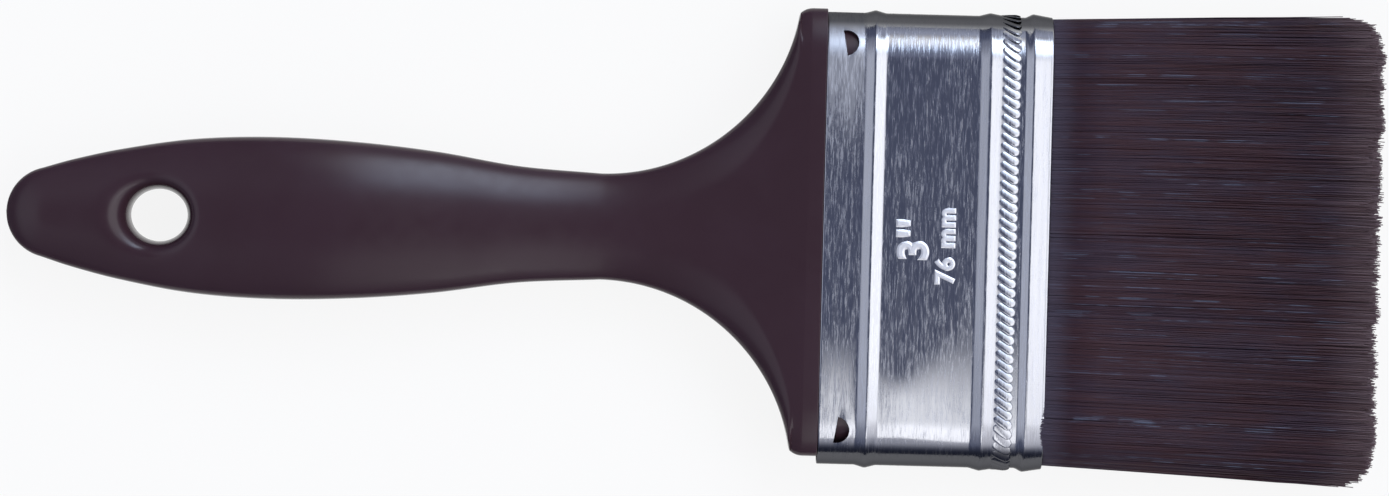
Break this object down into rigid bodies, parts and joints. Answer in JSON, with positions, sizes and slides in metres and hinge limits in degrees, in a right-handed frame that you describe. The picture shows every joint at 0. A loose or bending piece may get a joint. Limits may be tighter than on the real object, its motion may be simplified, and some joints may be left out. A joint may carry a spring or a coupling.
{
  "type": "paint brush",
  "caption": "Flat wall paint brush: moulded handle with a hanging hole and flared shoulder, beaded metal ferrule staked to it, and a flat-trimmed head of dark filaments that flexes.",
  "frame": {"origin": "under the middle of the brush, on the surface that it lies on", "axes": "+X along the brush from the hanging end to the bristle tips, +Y across its width, +Z out of its front face"},
  "size_m": [0.231, 0.0798, 0.0174],
  "materials": {
    "handle_plastic": "satin moulded black with a faint warm cast",
    "ferrule_metal": "bright plated sheet with fine marks across",
    "epoxy": "cast amber resin",
    "spacer_strip": "plain pale strip",
    "filament": "dark synthetic filaments with a soft sheen"
  },
  "bodies": {
    "grip": {"handle": "handle_plastic", "ferrule": "ferrule_metal", "epoxy_setting": "epoxy", "spacer_plug_front": "spacer_strip", "spacer_plug_back": "spacer_strip", "bristle_butt_front": "filament", "bristle_butt_middle": "filament", "bristle_butt_back": "filament"},
    "bristle_head": {"bristle_row_front": "filament", "bristle_row_middle": "filament", "bristle_row_back": "filament"}
  },
  "joints": [
    {"name": "bristle_flex", "type": "hinge", "parent": "grip", "child": "bristle_head", "pos_m": [0.05965, 0, 0.0087], "axis": [0, 1, 0], "range_deg": [-35, 35], "stiffness_Nm_per_rad": 0.6, "deforming": ["bristle_row_front", "bristle_row_middle", "bristle_row_back"]}
  ]
}
